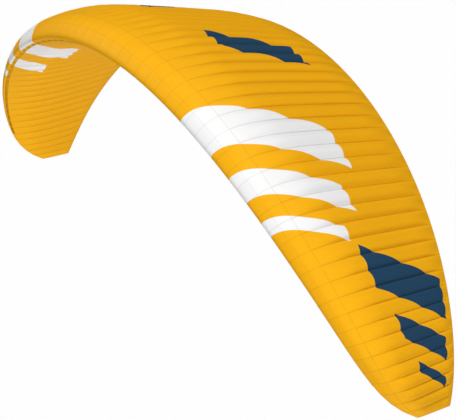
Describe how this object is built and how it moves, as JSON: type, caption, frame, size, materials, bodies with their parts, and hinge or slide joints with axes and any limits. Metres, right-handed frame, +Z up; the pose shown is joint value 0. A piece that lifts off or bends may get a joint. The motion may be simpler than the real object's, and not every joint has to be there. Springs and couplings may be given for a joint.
{
  "type": "paraglider wing",
  "caption": "Ram-air paraglider wing in its flying arch, sewn from thin cloth skins over ribs, with a closed nose, air intakes below it and rounded tips.",
  "frame": {"origin": "the suspension point, on the lower skin of the middle cell at 30 percent of the chord", "axes": "+X along the span to the right wing, +Y from the leading edge to the trailing edge, +Z up"},
  "size_m": [9.41, 2.5568, 3.3777],
  "materials": {
    "upper_cloth": "coated ripstop nylon, yellow with white and navy panels",
    "nose_cloth": "coated ripstop nylon, yellow with white panels",
    "lower_cloth": "light ripstop nylon, yellow with white panels",
    "rib_cloth": "stiff yellow ripstop nylon"
  },
  "bodies": {
    "root": {"upper_skin_l6": "upper_cloth", "upper_skin_l5": "upper_cloth", "upper_skin_l4": "upper_cloth", "upper_skin_l3": "upper_cloth", "upper_skin_l2": "upper_cloth", "upper_skin_l1": "upper_cloth", "upper_skin_c": "upper_cloth", "upper_skin_r1": "upper_cloth", "upper_skin_r2": "upper_cloth", "upper_skin_r3": "upper_cloth", "upper_skin_r4": "upper_cloth", "upper_skin_r5": "upper_cloth", "upper_skin_r6": "upper_cloth", "nose_l6": "nose_cloth", "nose_l5": "nose_cloth", "nose_l4": "nose_cloth", "nose_l3": "nose_cloth", "nose_l2": "nose_cloth", "nose_l1": "nose_cloth", "nose_c": "nose_cloth", "nose_r1": "nose_cloth", "nose_r2": "nose_cloth", "nose_r3": "nose_cloth", "nose_r4": "nose_cloth", "nose_r5": "nose_cloth", "nose_r6": "nose_cloth", "lower_skin_l6": "lower_cloth", "lower_skin_l5": "lower_cloth", "lower_skin_l4": "lower_cloth", "lower_skin_l3": "lower_cloth", "lower_skin_l2": "lower_cloth", "lower_skin_l1": "lower_cloth", "lower_skin_c": "lower_cloth", "lower_skin_r1": "lower_cloth", "lower_skin_r2": "lower_cloth", "lower_skin_r3": "lower_cloth", "lower_skin_r4": "lower_cloth", "lower_skin_r5": "lower_cloth", "lower_skin_r6": "lower_cloth", "rib_l7": "upper_cloth", "rib_l6": "rib_cloth", "rib_l5": "rib_cloth", "rib_l4": "rib_cloth", "rib_l3": "rib_cloth", "rib_l2": "rib_cloth", "rib_l1": "rib_cloth", "rib_r1": "rib_cloth", "rib_r2": "rib_cloth", "rib_r3": "rib_cloth", "rib_r4": "rib_cloth", "rib_r5": "rib_cloth", "rib_r6": "rib_cloth", "rib_r7": "upper_cloth"}
  },
  "joints": []
}
